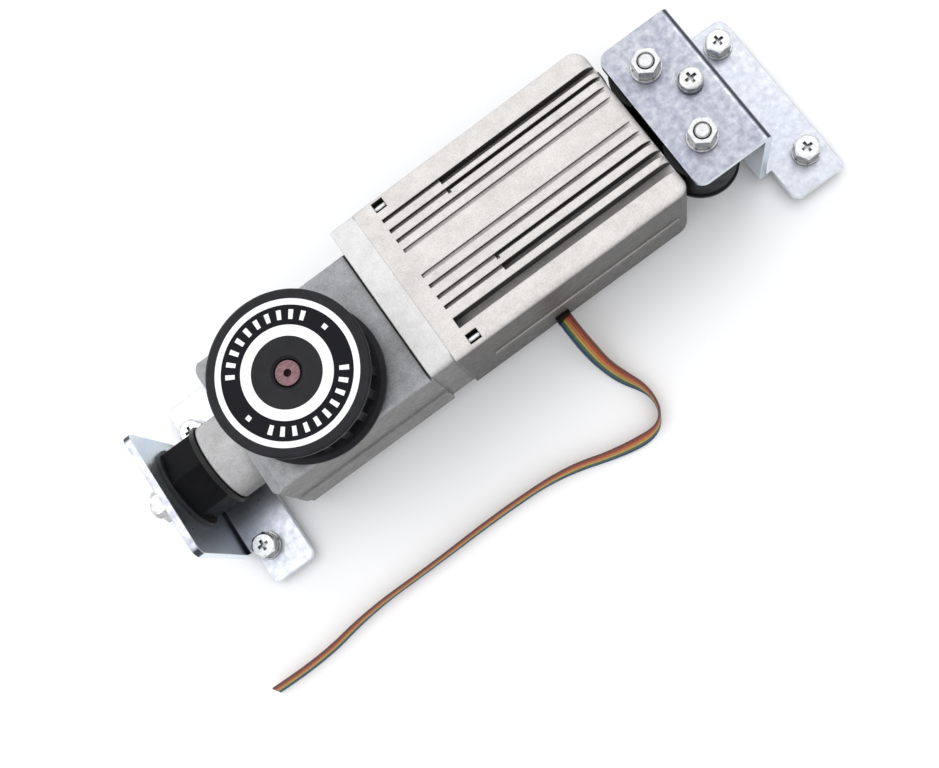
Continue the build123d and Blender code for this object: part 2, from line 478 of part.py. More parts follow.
with BuildPart() as motor_housing:
    with BuildSketch(END_PLANE.offset(SEAM_X)):
        (cy, ly), (cz, lz) = span(BODY_NEAR, BODY_FAR), span(BODY_LOW, BODY_TOP)
        with Locations((cy, cz)):
            RectangleRounded(ly, lz, BODY_EDGE)
    extrude(amount=MOTOR_END_X - SEAM_X)
    fillet(motor_housing.edges().filter_by(Axis.Z).group_by(Axis.X)[-1], REAR_CORNER)
    fins_x, stepped_x = (FLANGE_X, MOTOR_END_X), (STEP_X, MOTOR_END_X)
    for y, depth in FIN_GROOVES:
        groove(fins_x, (y - GROOVE_W / 2, y + GROOVE_W / 2), depth)
    for y, _ in (FIN_GROOVES[0], FIN_GROOVES[-1]):
        groove(stepped_x, (y - GROOVE_W / 2 - STEP_WIDER, y + GROOVE_W / 2), STEP_D)
    for y, depth in (FIN_GROOVES[1], FIN_GROOVES[-2]):
        low_side = y - GROOVE_W / 2
        groove(stepped_x, (low_side, y + GROOVE_W / 2), INNER_STEP_D)
        groove((STEP_X, STEP_X + STEP_MARK_L), (low_side - STEP_MARK_W, low_side + 0.1), depth)
    groove((FLANGE_X, MOTOR_END_X), (SIDE_GROOVE_Y - SIDE_GROOVE_W / 2, SIDE_GROOVE_Y + SIDE_GROOVE_W / 2),
           SIDE_GROOVE_D)
    block((FLANGE_X + NOTCH_L, MOTOR_END_X - REAR_CORNER - 1), (BODY_NEAR - LEDGE_PROUD, BODY_NEAR + 1),
          LEDGE_Z)
    # slots over the four joint screws, open at the top or the underside
    for y in JOINT_SCREW_Y:
        for z in ((BODY_LOW, BODY_LOW + NOTCH_H), (BODY_TOP - NOTCH_H, BODY_TOP)):
            block((FLANGE_X, FLANGE_X + NOTCH_L), (y - NOTCH_W / 2, y + NOTCH_W / 2), z, Mode.SUBTRACT)
    # round motor bore, wiring compartment and the open rear end
    disc(AXIS_PLANE, FLANGE_X - 2.5, END_CAP_X, STATOR_R, mode=Mode.SUBTRACT)
    disc(AXIS_PLANE, SEAM_X, FLANGE_X, BEARING_WORM[1] - 2.0, mode=Mode.SUBTRACT)
    block((FLANGE_X + NOTCH_L + 3, END_CAP_X), (BODY_NEAR + 4, -6.5), (9.5, 46.0), Mode.SUBTRACT)
    block((FLANGE_X + NOTCH_L + 3, STATOR_X0 - 6), (-8.0, 2.0), (22.0, 38.0), Mode.SUBTRACT)
    block((END_CAP_X, MOTOR_END_X), cap_y, cap_z, Mode.SUBTRACT)
    bars(END_PLANE, SEAM_X, FLANGE_X, JOINT_R + 0.2, joint_holes, Mode.SUBTRACT)
    block((GROMMET[0] - GROMMET[1] / 2, GROMMET[0] + GROMMET[1] / 2), (BODY_NEAR - 1, BODY_NEAR + 5),
          (GROMMET_Z - GROMMET[2] / 2, GROMMET_Z + GROMMET[2] / 2), Mode.SUBTRACT)
save(motor_housing.part, "motor_housing")

with BuildPart() as housing_screws:
    joint_head_x = FLANGE_X + JOINT_HEAD_L
    bars(END_PLANE, COLLAR_X + 3.0, FLANGE_X, JOINT_R, joint_holes)
    bars(END_PLANE, FLANGE_X, joint_head_x, JOINT_HEAD_R, joint_holes)
    hexagons(END_PLANE, joint_head_x - 1.6, joint_head_x, JOINT_FLATS, joint_holes, mode=Mode.SUBTRACT)
save(housing_screws.part, "housing_screws")

with BuildPart() as rear_end_cap:
    block((END_CAP_X + CLEAR, END_CAP_FACE), (cap_y[0] + CLEAR, cap_y[1] - CLEAR),
          (cap_z[0] + CLEAR, cap_z[1] - CLEAR))
    disc(AXIS_PLANE, REAR_BEARING_X, END_CAP_X + 1, BEARING_WORM[1] + 2.5)
    disc(AXIS_PLANE, REAR_BEARING_X, REAR_BEARING_X + BEARING_WORM[2], BEARING_WORM[1],
         mode=Mode.SUBTRACT)
    bars(END_PLANE, END_CAP_X, END_CAP_FACE, M4_R, CARRIER_SCREWS, Mode.SUBTRACT)
save(rear_end_cap.part, "rear_end_cap")

# ---------------------------------------------------------------- stator and rotor
with BuildPart() as stator_core:
    disc(AXIS_PLANE, STATOR_X0, STATOR_X1, STATOR_R - 0.02, STATOR_BORE_R)
    with BuildSketch(AXIS_PLANE.offset(STATOR_X0)):
        with PolarLocations(SLOT_CENTRE_R, STATOR_SLOTS):
            RectangleRounded(3.6, 6.0, 1.0)
        with PolarLocations(STATOR_BORE_R + 0.8, STATOR_SLOTS):
            Rectangle(3.2, 1.4)
    extrude(amount=STATOR_X1 - STATOR_X0, mode=Mode.SUBTRACT)
save(stator_core.part, "stator_core")

with BuildPart() as stator_windings:
    with BuildSketch(AXIS_PLANE.offset(STATOR_X0 - COIL_LAP)):
        with PolarLocations(SLOT_CENTRE_R, STATOR_SLOTS):
            RectangleRounded(3.2, 5.6, 0.9)
    extrude(amount=STATOR_X1 - STATOR_X0 + 2 * COIL_LAP)
    for x in (STATOR_X0 - COIL_LAP, STATOR_X1 + 0.2):
        disc(AXIS_PLANE, x, x + 3.8, 18.2, 13.8)
save(stator_windings.part, "stator_windings")

with BuildPart() as rotor_core:
    disc(AXIS_PLANE, STATOR_X0, STATOR_X1, ROTOR_R, MOTOR_SHAFT_R)
save(rotor_core.part, "rotor_core")

with BuildPart() as rotor_magnets:
    with BuildSketch(AXIS_PLANE.offset(STATOR_X0)):
        Circle(MAGNET_R)
        Circle(ROTOR_R, mode=Mode.SUBTRACT)
        with PolarLocations((MAGNET_R + ROTOR_R) / 2, MAGNET_COUNT):
            Rectangle(3.4, 0.6, mode=Mode.SUBTRACT)
    extrude(amount=STATOR_X1 - STATOR_X0)
save(rotor_magnets.part, "rotor_magnets")

with BuildPart() as hall_board:
    disc(AXIS_PLANE, BOARD_X, BOARD_X + BOARD_T, STATOR_R - CLEAR, 10.0)
    with BuildSketch(AXIS_PLANE.offset(BOARD_X - BOARD_T)):
        with PolarLocations(14.0, HALL_SENSORS, start_angle=150, angular_range=120):
            Rectangle(3.0, 4.0)
    extrude(amount=BOARD_T)
save(hall_board.part, "hall_board")

# ---------------------------------------------------------------- rear carrier and right dampers
stud_places = [(STUD_X, y) for y in STUD_Y]
DAMPER_TOP = RIGHT_TOP - SHEET
RUBBER_Z = (SHELF_TOP + DAMPER_PLATE_T, DAMPER_TOP - DAMPER_PLATE_T)

shelf_z = (SHELF_TOP - CARRIER_T, SHELF_TOP)
carrier_face = END_CAP_FACE + CARRIER_T

with BuildPart() as rear_carrier:
    block((END_CAP_FACE, carrier_face), (cap_y[0] + 0.5, cap_y[1] - 0.5), (cap_z[0] + 0.5, cap_z[1] - 2.0))
    block((END_CAP_FACE, STUD_X), (STUD_Y[0] - 3.0, STUD_Y[1] + 3.0), shelf_z)
    with BuildSketch(Plane.XY.offset(shelf_z[0])):
        with Locations((STUD_X, sum(STUD_Y) / 2)):
            SlotCenterToCenter(STUD_Y[1] - STUD_Y[0], 2 * SHELF_R, rotation=90)
    extrude(amount=CARRIER_T)
    bars(END_PLANE, END_CAP_FACE, carrier_face, M4_R + 0.2, CARRIER_SCREWS, Mode.SUBTRACT)
    bars(Plane.XY, *shelf_z, M6_R + 0.2, stud_places, Mode.SUBTRACT)
save(rear_carrier.part, "rear_carrier")

with BuildPart() as carrier_screws:
    bars(END_PLANE, END_CAP_X + 0.5, carrier_face, M4_R, CARRIER_SCREWS)
    bars(END_PLANE, carrier_face, carrier_face + CARRIER_HEAD_H, CARRIER_HEAD_R, CARRIER_SCREWS)
    cross_recess(END_PLANE, carrier_face + CARRIER_HEAD_H, 1.4, CARRIER_HEAD_R, CARRIER_SCREWS)
save(carrier_screws.part, "carrier_screws")

with BuildPart() as right_dampers:
    bars(Plane.XY, *RUBBER_Z, DAMPER_R - 0.8, stud_places)
    rims = right_dampers.edges().filter_by(GeomType.CIRCLE)
    fillet(rims, 1.2)
save(right_dampers.part, "right_dampers")

with BuildPart() as right_damper_plates:
    for z in (SHELF_TOP, RUBBER_Z[1]):
        bars(Plane.XY, z, z + DAMPER_PLATE_T, DAMPER_R, stud_places)
save(right_damper_plates.part, "right_damper_plates")

nut_z = RIGHT_TOP + WASHER_T + SPRING_T
lower_nut_z = SHELF_TOP - CARRIER_T - SPRING_T - NUT_H

with BuildPart() as right_studs:
    bars(Plane.XY, DAMPER_TOP, nut_z + NUT_H + STUD_PROUD, M6_R, stud_places)
    bars(Plane.XY, lower_nut_z - 1.5, SHELF_TOP, M6_R, stud_places)
    chamfer(right_studs.edges().filter_by(GeomType.CIRCLE).group_by(Axis.Z)[-1], 0.6)
save(right_studs.part, "right_studs")

save(washers(Plane.XY, RIGHT_TOP, WASHER_T, FLAT_R, M6_R + 0.2, stud_places), "right_flat_washers")
save(washers(Plane.XY, RIGHT_TOP + WASHER_T, SPRING_T, SPRING_R, M6_R + 0.1, stud_places, SPLIT),
     "right_spring_washers")
save(nuts(Plane.XY, nut_z, NUT_H, NUT_FLATS, M6_R, stud_places, NUT_TURN), "right_nuts")
save(washers(Plane.XY, lower_nut_z + NUT_H, SPRING_T, SPRING_R, M6_R + 0.1, stud_places, SPLIT),
     "carrier_spring_washers")
save(nuts(Plane.XY, lower_nut_z, NUT_H, NUT_FLATS, M6_R, stud_places), "carrier_nuts")

# ---------------------------------------------------------------- right bracket
left_screws, right_screws = FOOT_SCREWS[:2], FOOT_SCREWS[2:]

with BuildPart() as right_bracket:
    with BuildSketch(Plane.XZ.offset(-RIGHT_FAR)):
        with BuildLine():
            Polyline((RIGHT_X0, RIGHT_TOP), (RIGHT_X1, RIGHT_TOP), (RIGHT_X1, SHEET),
                     (RIGHT_FOOT_X, SHEET), (RIGHT_FOOT_X, 0), (RIGHT_X1 - SHEET, 0),
                     (RIGHT_X1 - SHEET, DAMPER_TOP), (RIGHT_X0, DAMPER_TOP), close=True)
        make_face()
    extrude(amount=RIGHT_FAR - RIGHT_NEAR)
    bends = [(RIGHT_X1, RIGHT_TOP, BEND_OUT), (RIGHT_X1 - SHEET, 0.0, BEND_OUT),
             (RIGHT_X1 - SHEET, DAMPER_TOP, BEND_IN), (RIGHT_X1, SHEET, BEND_IN)]
    for x, z, radius in bends:
        bend = right_bracket.edges().filter_by(Axis.Y).sort_by_distance((x, 5.0, z))[0]
        fillet(bend, radius)
    fillet(right_bracket.edges().filter_by(Axis.Z).group_by(Axis.X)[0], PLATE_CORNER)
    block((RIGHT_X1 + EAR_INSET, RIGHT_FOOT_X), (RIGHT_EAR, RIGHT_NEAR + 1), (0, SHEET))
    near_corner, far_corner = right_bracket.edges().filter_by(Axis.Z).group_by(Axis.X)[-1].sort_by(Axis.Y)
    fillet(near_corner, FOOT_CORNER_NEAR)
    fillet(far_corner, FOOT_CORNER_FAR)
    ear = right_bracket.edges().filter_by(Axis.Z).sort_by_distance((RIGHT_X1 + EAR_INSET, RIGHT_EAR, 1.5))
    chamfer(ear[0], EAR_CORNER)
    bars(Plane.XY, DAMPER_TOP, RIGHT_TOP, M6_R + 0.3, stud_places, Mode.SUBTRACT)
    bars(Plane.XY, DAMPER_TOP, RIGHT_TOP, EARTH_R, [EARTH_SCREW], Mode.SUBTRACT)
    bars(Plane.XY, 0, SHEET, M6_R, right_screws, Mode.SUBTRACT)
save(right_bracket.part, "right_bracket")

with BuildPart() as earth_screw:
    head_z = RIGHT_TOP + EARTH_WASHER_T
    disc(Plane.XY, head_z, head_z + EARTH_HEAD_H, EARTH_HEAD_R)
    fillet(earth_screw.edges().filter_by(GeomType.CIRCLE).sort_by(Axis.Z)[-1], EARTH_DOME)
    disc(Plane.XY, RIGHT_TOP - EARTH_LENGTH, head_z, EARTH_R)
    cross_recess(Plane.XY, head_z + EARTH_HEAD_H, RECESS_D, RECESS_W, [(0, 0)])
save(Pos(*EARTH_SCREW) * earth_screw.part, "earth_screw")
save(washers(Plane.XY, RIGHT_TOP, EARTH_WASHER_T, EARTH_WASHER_R, EARTH_R + 0.1, [EARTH_SCREW],
             SPLIT), "earth_washer")

# ---------------------------------------------------------------- left damper and bracket
LEFT_FACE = LEFT_X0 + SHEET

with BuildPart() as left_damper:
    with BuildSketch(BOSS_PLANE.offset(LEFT_FACE + PLATE_T)):
        RegularPolygon(LEFT_DAMPER_R + 0.7, 6, rotation=90)
    extrude(amount=BOSS_X - LEFT_FACE - 2 * PLATE_T)
    fillet(left_damper.edges().filter_by(Axis.X), 1.2)
save(left_damper.part, "left_damper")

with BuildPart() as left_damper_plates:
    disc(BOSS_PLANE, LEFT_FACE, LEFT_FACE + PLATE_T, LEFT_DAMPER_R + 1.6)
    disc(BOSS_PLANE, BOSS_X - PLATE_T, BOSS_X, LEFT_DAMPER_R + 1.3)
save(left_damper_plates.part, "left_damper_plates")

left_nut_x = LEFT_X0 - WASHER_T - LEFT_SPRING_T - LEFT_NUT_H

with BuildPart() as left_studs:
    disc(BOSS_PLANE, left_nut_x - LEFT_STUD_PROUD, LEFT_FACE, M8_R)
    chamfer(left_studs.edges().filter_by(GeomType.CIRCLE).sort_by(Axis.X)[0], 0.8)
    disc(BOSS_PLANE, BOSS_X, BOSS_X + 11.0, M8_R)
save(left_studs.part, "left_studs")

centre = [(0.0, 0.0)]
save(washers(BOSS_PLANE, LEFT_X0 - WASHER_T, WASHER_T, LEFT_FLAT_R, M8_R + 0.2, centre), "left_flat_washer")
save(washers(BOSS_PLANE, LEFT_X0 - WASHER_T - LEFT_SPRING_T, LEFT_SPRING_T, LEFT_SPRING_R, M8_R + 0.1,
             centre, SPLIT), "left_spring_washer")
save(nuts(BOSS_PLANE, left_nut_x, LEFT_NUT_H, LEFT_NUT_FLATS, M8_R, centre), "left_nut")

with BuildPart() as left_bracket:
    block((LEFT_X0, LEFT_X0 + SHEET), (LEFT_NEAR, LEFT_FAR), (0, LEFT_TOP))
    fillet(left_bracket.edges().filter_by(Axis.X).group_by(Axis.Z)[-1], LEFT_TOP_CORNER)
    block((LEFT_X0, LEFT_EAR_X + 5), (LEFT_NEAR, LEFT_FAR), (0, SHEET))
    for x, z, radius in ((LEFT_X0, 0.0, BEND_OUT), (LEFT_FACE, SHEET, LEFT_BEND_IN)):
        fillet(left_bracket.edges().filter_by(Axis.Y).sort_by_distance((x, 0, z))[0], radius)
    block((LEFT_EAR_X, LEFT_FOOT_X), (LEFT_EAR_NEAR, LEFT_EAR_FAR), (0, SHEET))
    fillet(left_bracket.edges().filter_by(Axis.Z).group_by(Axis.X)[-1], LEFT_FOOT_CORNER)
    for y in (LEFT_EAR_NEAR, LEFT_EAR_FAR):
        ear = left_bracket.edges().filter_by(Axis.Z).sort_by_distance((LEFT_EAR_X, y, SHEET / 2))
        fillet(ear[0], EAR_CORNER)
    disc(BOSS_PLANE, LEFT_X0, LEFT_FACE, M8_R + 0.3, mode=Mode.SUBTRACT)
    bars(Plane.XY, 0, SHEET, M6_R, left_screws, Mode.SUBTRACT)
save(left_bracket.part, "left_bracket")

# ---------------------------------------------------------------- foot screws
FOOT_HEAD_Z = SHEET + WASHER_T + SPRING_T
save(washers(Plane.XY, SHEET, WASHER_T, FOOT_FLAT_R, M6_R + 0.2, FOOT_SCREWS), "foot_flat_washers")
save(washers(Plane.XY, SHEET + WASHER_T, SPRING_T, SPRING_R, M6_R + 0.1, FOOT_SCREWS, SPLIT),
     "foot_spring_washers")

with BuildPart() as foot_screws:
    hexagons(Plane.XY, FOOT_HEAD_Z, FOOT_HEAD_Z + FOOT_HEAD_H, NUT_FLATS, FOOT_SCREWS)
    trim_corners(Plane.XY, FOOT_HEAD_Z, FOOT_HEAD_H, NUT_FLATS, FOOT_SCREWS, HEAD_CHAMFER)
    bars(Plane.XY, 0, FOOT_HEAD_Z, M6_R, FOOT_SCREWS)
    bars(Plane.XY, -FOOT_THREAD_L, 0, FOOT_THREAD_R, FOOT_SCREWS)
    chamfer(foot_screws.edges().filter_by(GeomType.CIRCLE).group_by(Axis.Z)[0], 0.5)
    cross_recess(Plane.XY, FOOT_HEAD_Z + FOOT_HEAD_H, RECESS_D, RECESS_W, FOOT_SCREWS)
save(foot_screws.part, "foot_screws")

# ---------------------------------------------------------------- cable
grommet_x, grommet_w, grommet_h, proud = GROMMET
with BuildPart() as cable_grommet:
    block((grommet_x - grommet_w / 2, grommet_x + grommet_w / 2), (BODY_NEAR - proud, BODY_NEAR + 4.0),
          (GROMMET_Z - grommet_h / 2, GROMMET_Z + grommet_h / 2))
    block((grommet_x - grommet_w / 2 - 1, grommet_x + grommet_w / 2 + 1), (BODY_NEAR - proud, BODY_NEAR),
          (GROMMET_Z - grommet_h / 2 - 0.8, GROMMET_Z + grommet_h / 2 + 0.8))
save(cable_grommet.part, "cable_grommet")


def bend_radii(route):
    """Arc radius at each inner point of a route, from its shorter run and its turn."""
    points = [Vector(*p) for p in route]
    radii = []
    for before, here, after in zip(points, points[1:], points[2:]):
        turn = radians((here - before).get_angle(after - here))
        shorter = min((here - before).length, (after - here).length)
        radii.append(0.45 * shorter / tan(turn / 2))
    return radii


radii = bend_radii(RIBBON_ROUTE)
with BuildPart() as ribbon_cable:
    with BuildLine() as route_line:
        FilletPolyline(*RIBBON_ROUTE, radius=radii)
    start = route_line.line @ 0
    heading = route_line.line % 0
    across = Vector(0, 0, 1).cross(heading)
    with BuildSketch(Plane(origin=start, x_dir=across, z_dir=heading)):
        Rectangle(RIBBON_T, RIBBON_W)
    sweep(path=route_line.line)
save(ribbon_cable.part, "ribbon_cable")
print("ribbon radii", [round(r, 1) for r in radii])
ribbon_length = sum(edge.length for edge in route_line.edges())
print("ribbon length", round(ribbon_length, 1), "volume", round(ribbon_cable.part.volume, 1),
      "section x length", round(RIBBON_T * RIBBON_W * ribbon_length, 1))
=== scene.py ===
import json
import math

import bpy
from mathutils import Matrix, Vector


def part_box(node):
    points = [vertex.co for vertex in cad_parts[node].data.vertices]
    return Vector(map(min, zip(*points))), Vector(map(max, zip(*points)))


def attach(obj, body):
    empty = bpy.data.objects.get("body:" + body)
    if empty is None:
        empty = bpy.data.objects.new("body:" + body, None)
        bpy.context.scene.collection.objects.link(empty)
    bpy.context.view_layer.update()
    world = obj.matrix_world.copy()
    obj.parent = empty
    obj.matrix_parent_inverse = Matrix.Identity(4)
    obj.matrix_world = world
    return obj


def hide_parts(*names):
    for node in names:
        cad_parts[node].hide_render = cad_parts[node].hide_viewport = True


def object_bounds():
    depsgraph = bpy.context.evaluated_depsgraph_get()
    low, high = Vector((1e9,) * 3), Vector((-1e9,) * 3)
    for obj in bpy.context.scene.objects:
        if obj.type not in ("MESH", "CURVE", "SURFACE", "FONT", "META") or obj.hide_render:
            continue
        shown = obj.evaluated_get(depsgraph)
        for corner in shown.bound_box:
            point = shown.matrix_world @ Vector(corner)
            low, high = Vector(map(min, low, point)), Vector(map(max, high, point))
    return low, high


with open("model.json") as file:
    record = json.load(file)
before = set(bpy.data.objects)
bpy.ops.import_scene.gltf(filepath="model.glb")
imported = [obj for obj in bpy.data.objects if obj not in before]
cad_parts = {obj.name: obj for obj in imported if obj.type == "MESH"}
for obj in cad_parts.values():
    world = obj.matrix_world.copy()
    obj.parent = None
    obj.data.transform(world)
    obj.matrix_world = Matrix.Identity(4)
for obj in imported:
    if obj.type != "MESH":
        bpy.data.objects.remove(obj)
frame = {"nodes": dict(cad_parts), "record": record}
CAD_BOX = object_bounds()

# Everything is in metres, in the row frame: +X runs along the motor, +Z points up.
MM = 0.001
LABEL_LOW, LABEL_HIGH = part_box("pulley_label")
PULLEY = Vector(((LABEL_LOW.x + LABEL_HIGH.x) / 2, (LABEL_LOW.y + LABEL_HIGH.y) / 2, 0))
FLOOR_Z = CAD_BOX[0].z
# the gearbox block runs from its far end to the foot of the collar that joins it to the motor
BLOCK_END_X, COLLAR_FOOT_X = PULLEY.x - 37.3 * MM, PULLEY.x + 40.5 * MM


def from_pulley(x, y, z):
    """A point given in millimetres from the foot of the pulley axis."""
    return PULLEY + Vector((x, y, z)) * MM


# ---------------------------------------------------------------- camera
CAMERA_PLACE = from_pulley(76.14, -144.59, 509.37)
CAMERA_RIGHT = Vector((0.80555, -0.56553, -0.17682))
CAMERA_UP = Vector((0.59011, 0.79265, 0.15321))
CAMERA_LENS = 46.88
SENSOR_WIDTH = 36.0
CLIP_NEAR, CLIP_FAR = 0.01, 20.0


def make_camera():
    data = bpy.data.cameras.new("camera")
    data.lens, data.sensor_width = CAMERA_LENS, SENSOR_WIDTH
    data.clip_start, data.clip_end = CLIP_NEAR, CLIP_FAR
    camera = bpy.data.objects.new("camera", data)
    bpy.context.scene.collection.objects.link(camera)
    right, up = CAMERA_RIGHT.normalized(), CAMERA_UP.normalized()
    back = right.cross(up)
    axes = Matrix((right, up, back)).transposed().to_4x4()
    camera.matrix_world = Matrix.Translation(CAMERA_PLACE) @ axes
    bpy.context.scene.camera = camera


# ---------------------------------------------------------------- materials
# sockets of a Mix node in its colour mode
MIX_SHARE, MIX_A, MIX_B, MIX_RESULT = 0, 6, 7, 2
CREVICE_SAMPLES, EDGE_SAMPLES = 6, 4


def scaled(colour, factor):
    return tuple(factor * level for level in colour)


class Surface:
    """One procedural material: a Principled shader and short ways to add nodes to it."""

    def __init__(self, name, **shader):
        self.material = bpy.data.materials.new(name)
        self.material.use_nodes = True
        self.tree = self.material.node_tree
        self.shader = self.tree.nodes["Principled BSDF"]
        for socket, value in shader.items():
            self.shader.inputs[socket.replace("_", " ")].default_value = value
        self.place = self.node("ShaderNodeTexCoord").outputs["Object"]

    def node(self, kind, inputs=None, **settings):
        made = self.tree.nodes.new(kind)
        for key, value in settings.items():
            setattr(made, key, value)
        for socket, value in (inputs or {}).items():
            self.feed(made.inputs[socket], value)
        return made

    def feed(self, socket, value):
        if isinstance(value, bpy.types.NodeSocket):
            self.tree.links.new(value, socket)
        else:
            socket.default_value = value

    def stretched(self, x, y, z):
        """Object coordinates scaled unevenly, for grain that runs one way."""
        return self.node("ShaderNodeMapping", {"Vector": self.place, "Scale": (x, y, z)}).outputs[0]

    def noise(self, size_mm, detail=3.0, roughness=0.55, place=None):
        """Noise whose blotches are about that many millimetres across."""
        inputs = {"Vector": place or self.place, "Scale": 1 / (size_mm * MM), "Detail": detail,
                  "Roughness": roughness}
        return self.node("ShaderNodeTexNoise", inputs).outputs["Fac"]

    def cells(self, size_mm):
        """Distance to the nearest of scattered points, about that many millimetres apart."""
        inputs = {"Vector": self.place, "Scale": 1 / (size_mm * MM)}
        return self.node("ShaderNodeTexVoronoi", inputs).outputs["Distance"]

    def ramp(self, value, *stops):
        """Colour ramp from (position, colour) stops; a colour may be one grey level."""
        made = self.node("ShaderNodeValToRGB", {"Fac": value})
        elements = made.color_ramp.elements
        while len(elements) < len(stops):
            elements.new(0.5)
        for element, (position, colour) in zip(elements, stops):
            element.position = position
            grey = isinstance(colour, (int, float))
            element.color = (colour, colour, colour, 1) if grey else (*colour, 1)
        return made.outputs["Color"]

    def combine(self, a, b, operation):
        """One step of arithmetic on two values."""
        return self.node("ShaderNodeMath", {0: a, 1: b}, operation=operation).outputs[0]

    def part_of(self, vector, axis):
        return self.node("ShaderNodeSeparateXYZ", {0: vector}).outputs[axis]

    def facing_up(self):
        """Z of the surface normal: 1 on top faces and 0 on walls."""
        return self.part_of(self.node("ShaderNodeNewGeometry").outputs["Normal"], "Z")

    def sine(self, distance, spacing_mm):
        """Waves that repeat every so many millimetres of that distance."""
        turns = self.combine(distance, 2 * math.pi / (spacing_mm * MM), "MULTIPLY")
        return self.combine(turns, 0.0, "SINE")

    def mix(self, share, a, b, blend="MIX"):
        made = self.node("ShaderNodeMix", data_type="RGBA", blend_type=blend)
        for socket, value in ((MIX_SHARE, share), (MIX_A, a), (MIX_B, b)):
            self.feed(made.inputs[socket], value)
        return made.outputs[MIX_RESULT]

    def crevice_shade(self, reach_mm):
        """Mask for painted shade: white in the open and dark in narrow grooves and corners."""
        inputs = {"Distance": reach_mm * MM}
        return self.node("ShaderNodeAmbientOcclusion", inputs, samples=CREVICE_SAMPLES).outputs["AO"]

    def edges(self, reach_mm):
        """A normal that is rounded off at sharp edges, and how much it turns there."""
        rounded = self.node("ShaderNodeBevel", {"Radius": reach_mm * MM}, samples=EDGE_SAMPLES).outputs[0]
        plain = self.node("ShaderNodeNewGeometry").outputs["Normal"]
        along = self.node("ShaderNodeVectorMath", {0: rounded, 1: plain}, operation="DOT_PRODUCT")
        return rounded, self.combine(1.0, along.outputs["Value"], "SUBTRACT")

    def bump(self, height, depth_mm, normal=None, strength=1.0):
        inputs = {"Height": height, "Distance": depth_mm * MM, "Strength": strength}
        if normal is not None:
            inputs["Normal"] = normal
        return self.node("ShaderNodeBump", inputs).outputs[0]

    def finish(self, colour=None, roughness=None, normal=None):
        for name, value in (("Base Color", colour), ("Roughness", roughness), ("Normal", normal)):
            if value is not None:
                self.feed(self.shader.inputs[name], value)
        return self.material


def shade_block(s, colour, clouds, dark, light):
    """Darken the gearbox block fully, and the boss beyond its end in part."""
    from_end = s.combine(s.part_of(s.place, "X"), BLOCK_END_X, "SUBTRACT")
    share = s.combine(from_end, COLLAR_FOOT_X - BLOCK_END_X, "DIVIDE")
    beyond = s.ramp(share, (0.0, 0.42), (0.006, 0.0), (0.994, 0.0), (1.0, 1.0))
    return s.mix(beyond, s.ramp(clouds, (0.3, dark), (0.7, light)), colour)


def casting(name, light, dark, side_shade, grain_mm, grain_depth_mm, rough, block_shade=None):
    """Cast aluminium: bright top faces, sides painted darker as shade, grooves and corners painted dark
    as shade, rubbed edges.
    """
    s = Surface(name, Metallic=0.15)
    clouds = s.noise(14.0, 4.0, 0.6)
    specks = s.noise(grain_mm, 2.0, 0.7)
    colour = s.ramp(clouds, (0.32, dark), (0.68, light))
    if block_shade:
        colour = shade_block(s, colour, clouds, *block_shade)
    # walls get a darker colour than top faces: painted shade on the sides, with random blotches in it
    facing_up = s.facing_up()
    side_shade_blotches = s.ramp(s.noise(9.0, 5.0, 0.65), (0.30, scaled(side_shade, 0.8)), (0.70, scaled(side_shade, 1.15)))
    colour = s.mix(s.ramp(facing_up, (0.10, 0.0), (0.75, 1.0)), side_shade_blotches, colour)
    colour = s.mix(0.42, colour, s.ramp(specks, (0.30, 0.28), (0.62, 0.92)), "SOFT_LIGHT")
    colour = s.mix(0.35, colour, s.ramp(s.noise(3.5, 5.0, 0.7), (0.34, 0.34), (0.60, 0.62)), "SOFT_LIGHT")
    rounded, turn = s.edges(0.7)
    colour = s.mix(s.ramp(turn, (0.02, 0.0), (0.30, 0.5)), colour, (0.80, 0.80, 0.79, 1))
    # grooves and corners painted near black: painted shade where light does not reach
    colour = s.mix(s.ramp(s.crevice_shade(7.0), (0.20, 0.95), (0.80, 0.0)), colour, (0.030, 0.028, 0.026, 1))
    normal = s.bump(s.noise(grain_mm * 1.4, 3.0, 0.75), grain_depth_mm, rounded)
    pits = s.ramp(s.cells(grain_mm * 6), (0.02, 0.0), (0.12, 1.0))
    normal = s.bump(pits, grain_depth_mm * 1.5, normal, 0.5)
    roughness = s.ramp(s.noise(3.0, 3.0), (0.3, rough - 0.07), (0.7, rough + 0.08))
    return s.finish(colour, roughness, normal)


# painted light on the zinc: lit feet, reflection on walls, highlight on edges, shade in bends and grooves
ZINC_FOOT_LIT, ZINC_WALL_REFLECTION, ZINC_EDGE_HIGHLIGHT = (0.80, 0.84, 0.88, 1), (0.86, 0.94, 1.0, 1), (0.92, 0.94, 0.96, 1)
ZINC_BEND_SHADE, ZINC_CREVICE_SHADE = (0.03, 0.035, 0.05, 1), (0.018, 0.035, 0.080, 1)
FOOT_SCALE = 20 * MM    # heights are taken as shares of this, to tell the feet from the plates


